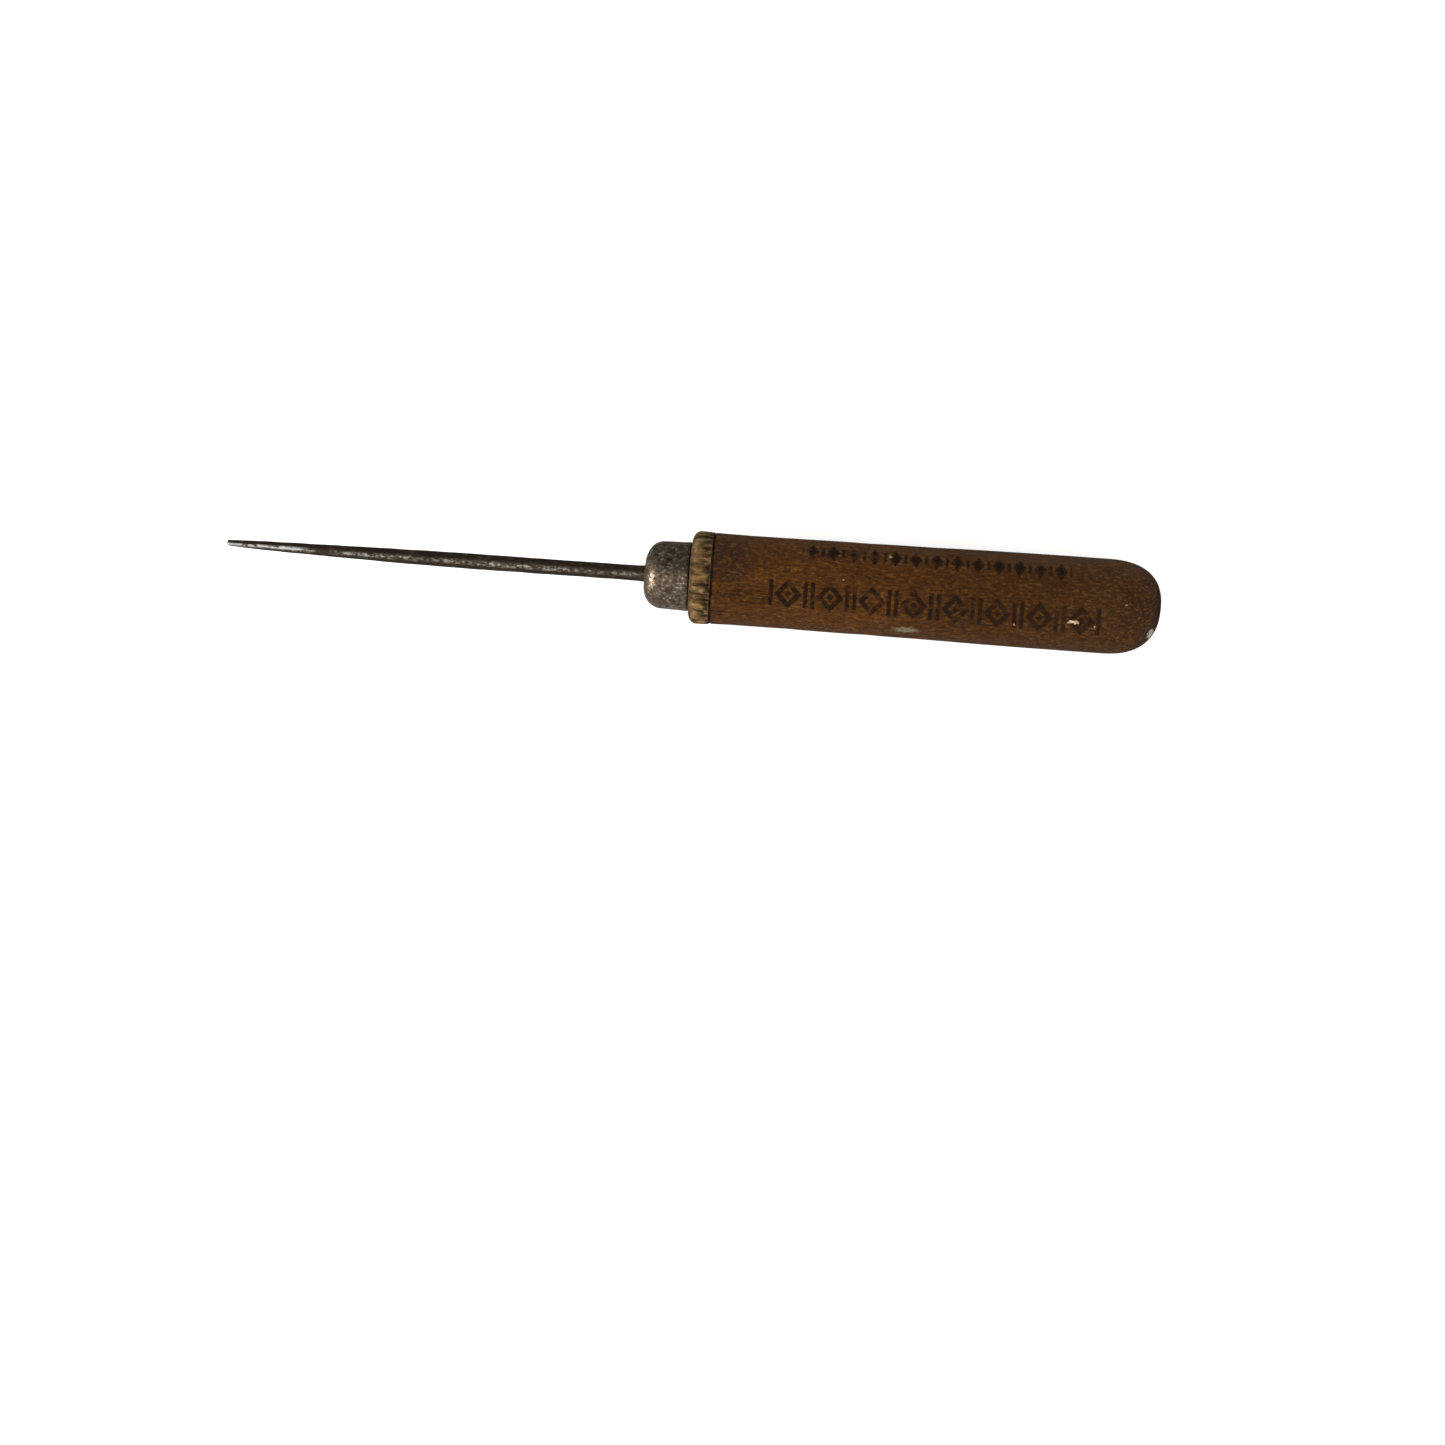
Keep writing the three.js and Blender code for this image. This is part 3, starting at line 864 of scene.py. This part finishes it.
def plated_steel(look):
    """Nickel-plated drawn steel. Pressed from sheet and thinly plated, it has gone dull and warm
    grey, mottled with tarnish, with small places rubbed bright, and rust shows through in pits."""
    material, tree, place = new_material("nickel-plated drawn steel, tarnished")
    station, _, _ = axis_parts(tree, place)
    pitted = add(tree, "ShaderNodeAttribute", out="Fac", attribute_name="pitted")
    blotch = streaks(tree, place, 1.2, 0.95, 0.47, 0.6, detail=5.0)
    film = streaks(tree, place, 3.2, 2.8, 0.35, 0.65, detail=3.0, shift=25.0)
    rubbed = streaks(tree, place, 0.8, 0.6, 0.53, 0.66, detail=4.0, shift=5.0)
    specks = streaks(tree, place, 0.55, 0.48, 0.58, 0.66, detail=3.0, shift=9.0)
    pocks = streaks(tree, place, 1.3, 1.0, 0.58, 0.63, detail=4.0, shift=37.0)
    grain = streaks(tree, place, 0.3, 0.25, 0.3, 0.7, detail=2.0, shift=35.0)
    drawn = streaks(tree, place, 6, 0.16, 0.3, 0.7, shift=13.0)
    # Painted shade: the cup darkens over its last mm before the mouth, where it meets the handle.
    mouth = step(tree, station, -6.1 * MM, -5.1 * MM)
    base = coats(
        tree,
        look.plating,
        (grain, 0.35, look.tarnish),
        (film, 0.4, look.tarnish),
        (rubbed, 0.85, look.plating_light),
        (blotch, 0.75, look.tarnish),
        (mouth, 0.6, look.mouth_shade),
        (pocks, 0.7, look.rust),
        (specks, 0.8, look.rust),
        (pitted, 0.8, look.rust),
    )
    dirt = add(tree, "ShaderNodeMath", {0: pitted, 1: specks}, operation="MAXIMUM")
    metal = step(tree, dirt, 1.3, 0.3)
    gloss = plus(tree, 0.36, (blotch, 0.14), (dirt, 0.25), (rubbed, -0.06))
    relief = plus(tree, 0.5, (drawn, 0.08), (specks, -0.5), (blotch, -0.2), (grain, 0.12))
    return finish_material(material, tree, base, gloss, relief, 0.04 * MM, Metallic=metal)


def aged_steel(look):
    """Ground carbon steel. Ground and filed to a taper, it has a dark skin of oxide, worn off in
    specks. The specks crowd into a band from the top towards -Y as a painted reflection, the
    flank below the band is darkened as painted shade, and a bright streak along the top near
    the point is a painted highlight on steel that use has worn smooth."""
    material, tree, place = new_material("ground carbon steel, oxide skin")
    station, _, angle = axis_parts(tree, place)
    pitted = add(tree, "ShaderNodeAttribute", out="Fac", attribute_name="pitted")
    # Painted reflection: a band from the top towards -Y, where the steel would mirror a light.
    sheen_band = between(tree, angle, -0.5, 0.05, 0.26)
    # Painted shade: the flank towards -Y, below the band, is darkened with the pits' colour.
    shaded_flank = step(tree, angle, -0.55, -0.85)
    specks = streaks(tree, place, 0.7, 0.4, 0.43, 0.58, detail=5.0)
    bold = streaks(tree, place, 1.1, 0.6, 0.5, 0.57, detail=5.0, shift=45.0)
    stretch = streaks(tree, place, 5, 3, 0.34, 0.56, detail=3.0, shift=5.0)
    rust_free = plus(tree, 0.4, (stretch, 0.6))
    # Worn steel: a few specks everywhere, and many inside the painted reflection band.
    worn = times(tree, specks, rust_free, plus(tree, 0.12, (sheen_band, 0.62)))
    near_ferrule = step(tree, station, FERRULE_FRONT - 26 * MM, FERRULE_FRONT - 2 * MM)
    unworn = between(tree, station, TIP + 20.5 * MM, TIP + 24.5 * MM, 1.0 * MM)
    worn = but_not(tree, worn, times(tree, unworn, 0.8))
    # Bare steel specks, only inside the painted reflection band.
    bared_and_sheen = but_not(tree, times(tree, bold, stretch, sheen_band), plus(tree, unworn, (near_ferrule, 0.5)))
    # Painted highlight: a bright streak along the top near the point, on steel that use has worn smooth.
    near_tip = step(tree, station, TIP + 20 * MM, TIP + 17 * MM)
    tip_breaks = streaks(tree, place, 1.5, 0.5, 0.4, 0.5, detail=4.0, shift=15.0)
    polish_highlight = times(tree, near_tip, between(tree, angle, -0.3, 0.33, 0.14), tip_breaks)
    grit = streaks(tree, place, 0.5, 0.35, 0.35, 0.65, detail=3.0, shift=21.0)
    film = streaks(tree, place, 7, 2, 0.35, 0.65, detail=3.0, shift=31.0)
    base = coats(
        tree,
        look.oxide,
        (film, 0.4, look.brown),
        (grit, 0.3, look.brown),
        (near_ferrule, 0.6, look.brown),
        (worn, look.steel),
        (bared_and_sheen, 0.8, look.bare_steel_and_sheen),
        (shaded_flank, 0.45, look.pits),
        (pitted, 0.6, look.pits),
        (polish_highlight, look.bright),
    )
    gloss = plus(tree, 0.44, (worn, -0.08), (bared_and_sheen, -0.08), (polish_highlight, -0.2), (grit, 0.1))
    relief = plus(tree, 0.5, (grit, 0.25), (specks, 0.25))
    metal = but_not(tree, 1.0, times(tree, pitted, 0.6))
    return finish_material(material, tree, base, gloss, relief, 0.03 * MM, Metallic=metal)


def matt_board(look):
    """White acrylic board: a pale, even, matt surface with a faint tooth, lit a little from below."""
    material, tree, place = new_material("matt white acrylic board")
    tooth = streaks(tree, place, 0.8, 0.8, 0.3, 0.7)
    base = coats(tree, look.floor, (tooth, 0.03, look.tooth))
    gloss = plus(tree, 0.8, (tooth, 0.05))
    glow = {"Emission_Color": (1, 1, 1, 1), "Emission_Strength": look.glow}
    return finish_material(material, tree, base, gloss, tooth, 0.005 * MM, **glow)


# ---- stage


def make_floor(look):
    """A flat square sheet at the height of the tool's underside."""
    signs = ((-1, -1), (1, -1), (1, 1), (-1, 1))
    corners = [(x * FLOOR_HALF, y * FLOOR_HALF, CAD_BOX[0].z) for x, y in signs]
    mesh = bpy.data.meshes.new("floor")
    mesh.from_pydata(corners, [], [(0, 1, 2, 3)])
    mesh.materials.append(matt_board(look))
    floor = bpy.data.objects.new("floor", mesh)
    floor.visible_glossy = False
    bpy.context.scene.collection.objects.link(floor)


def make_light(name, place, target, size, power):
    """A soft rectangular lamp at `place`, aimed at `target`."""
    data = bpy.data.lights.new(name, "AREA")
    data.shape = "RECTANGLE"
    data.size, data.size_y = size
    data.energy = power
    lamp = bpy.data.objects.new(name, data)
    lamp.location = place
    lamp.rotation_euler = (Vector(target) - Vector(place)).to_track_quat("-Z", "Y").to_euler()
    lamp.visible_camera = False
    bpy.context.scene.collection.objects.link(lamp)


def make_dome(look):
    """Soft light from all round. Matt surfaces get it evenly, a little stronger from the lit side.
    Reflections see a dim room whose side towards -Y and -X is lit, so that colours stay deep and
    metal has a bright and a dark side. The world isn't sampled as a lamp, or that wouldn't hold."""
    world = bpy.data.worlds.new("studio")
    world.use_nodes = True
    world.cycles.sampling_method = "NONE"
    tree = world.node_tree
    tree.nodes.clear()
    ray = add(tree, "ShaderNodeTexCoord", out="Generated")
    glossy = add(tree, "ShaderNodeLightPath", out="Is Glossy Ray")
    towards = {"out": "Value", "operation": "DOT_PRODUCT"}
    sideways = add(tree, "ShaderNodeVectorMath", {0: ray, 1: LIT_SIDE}, **towards)
    overhead = add(tree, "ShaderNodeVectorMath", {0: ray, 1: LAMP_SIDE}, **towards)
    lit = step(tree, sideways, -0.4, 0.9)
    lamp = step(tree, overhead, 0.86, 0.98)
    seen = plus(tree, UNLIT_ROOM, (lit, look.room), (lamp, look.lamp))
    even = times(tree, look.dome, plus(tree, 0.88, (lit, 0.24)))
    strength = add(tree, "ShaderNodeMix", {0: glossy, 2: even, 3: seen})
    background = add(tree, "ShaderNodeBackground", {"Color": (1, 1, 1, 1), "Strength": strength})
    output = tree.nodes.new("ShaderNodeOutputWorld")
    tree.links.new(background, output.inputs["Surface"])
    bpy.context.scene.world = world
    bpy.context.scene.view_settings.view_transform = "Standard"


def make_camera(look):
    """A camera looking down on the tool from a little towards the butt, with the tool lying above the
    middle of the picture and its point a little higher than its butt."""
    target = Vector((ZERO_X + VIEW_MIDDLE[0], VIEW_MIDDLE[1], AXIS_HEIGHT))
    back = Vector((math.sin(LEAN), 0, math.cos(LEAN)))
    across = Vector((math.cos(SLOPE), math.sin(SLOPE), 0))
    right = (across - across.dot(back) * back).normalized()
    up = back.cross(right)
    data = bpy.data.cameras.new("camera")
    data.lens = look.lens
    data.sensor_width = SENSOR
    data.clip_start, data.clip_end = 0.01, 10.0
    camera = bpy.data.objects.new("camera", data)
    place = target + back * (VIEW_WIDTH * look.lens / SENSOR)
    camera.matrix_world = Matrix.Translation(place) @ Matrix((right, up, back)).transposed().to_4x4()
    bpy.context.scene.collection.objects.link(camera)
    bpy.context.scene.camera = camera


# ---- operators


class MESH_OT_ice_pick_handle(bpy.types.Operator):
    """Add the worn, turned wooden handle"""

    bl_idname = "mesh.ice_pick_handle"
    bl_label = "Handle"

    def execute(self, context):
        make_handle(context.scene.ice_pick_handle)
        return {"FINISHED"}


class MESH_OT_ice_pick_ferrule(bpy.types.Operator):
    """Add the drawn steel ferrule"""

    bl_idname = "mesh.ice_pick_ferrule"
    bl_label = "Ferrule"

    def execute(self, context):
        make_ferrule(context.scene.ice_pick_ferrule)
        return {"FINISHED"}


class MESH_OT_ice_pick_spike(bpy.types.Operator):
    """Add the tapered steel spike with its tang"""

    bl_idname = "mesh.ice_pick_spike"
    bl_label = "Spike"

    def execute(self, context):
        make_pick(context.scene.ice_pick_spike)
        return {"FINISHED"}


class SCENE_OT_ice_pick_stage(bpy.types.Operator):
    """Add the floor, the lights and the camera"""

    bl_idname = "scene.ice_pick_stage"
    bl_label = "Stage"

    def execute(self, context):
        look = context.scene.ice_pick_stage
        make_floor(look)
        make_dome(look)
        make_light("window", WINDOW_PLACE, (0, 0, AXIS_HEIGHT), WINDOW_SIZE, look.window)
        make_camera(look)
        return {"FINISHED"}


class VIEW3D_PT_ice_pick(bpy.types.Panel):
    """Lists the ice pick's pieces and the stage"""

    bl_idname = "VIEW3D_PT_ice_pick"
    bl_label = "Ice Pick"
    bl_space_type = "VIEW_3D"
    bl_region_type = "UI"
    bl_category = "Ice Pick"

    def draw(self, context):
        for operator, group in zip(OPERATORS, SETTINGS):
            box = self.layout.box()
            box.operator(operator.bl_idname)
            settings = getattr(context.scene, group)
            for name in settings.__annotations__:
                box.prop(settings, name)


SETTINGS = {
    "ice_pick_handle": HandleSettings,
    "ice_pick_ferrule": FerruleSettings,
    "ice_pick_spike": PickSettings,
    "ice_pick_stage": StageSettings,
}
OPERATORS = (
    MESH_OT_ice_pick_handle,
    MESH_OT_ice_pick_ferrule,
    MESH_OT_ice_pick_spike,
    SCENE_OT_ice_pick_stage,
)
CLASSES = (*SETTINGS.values(), *OPERATORS, VIEW3D_PT_ice_pick)


def register():
    for cls in CLASSES:
        bpy.utils.register_class(cls)
    for name, cls in SETTINGS.items():
        setattr(bpy.types.Scene, name, PointerProperty(type=cls))


def unregister():
    for name in SETTINGS:
        delattr(bpy.types.Scene, name)
    for cls in reversed(CLASSES):
        bpy.utils.unregister_class(cls)


def main():
    register()
    bpy.ops.scene.ice_pick_stage()
    bpy.ops.mesh.ice_pick_handle()
    bpy.ops.mesh.ice_pick_ferrule()
    bpy.ops.mesh.ice_pick_spike()


if __name__ == "__main__":
    main()
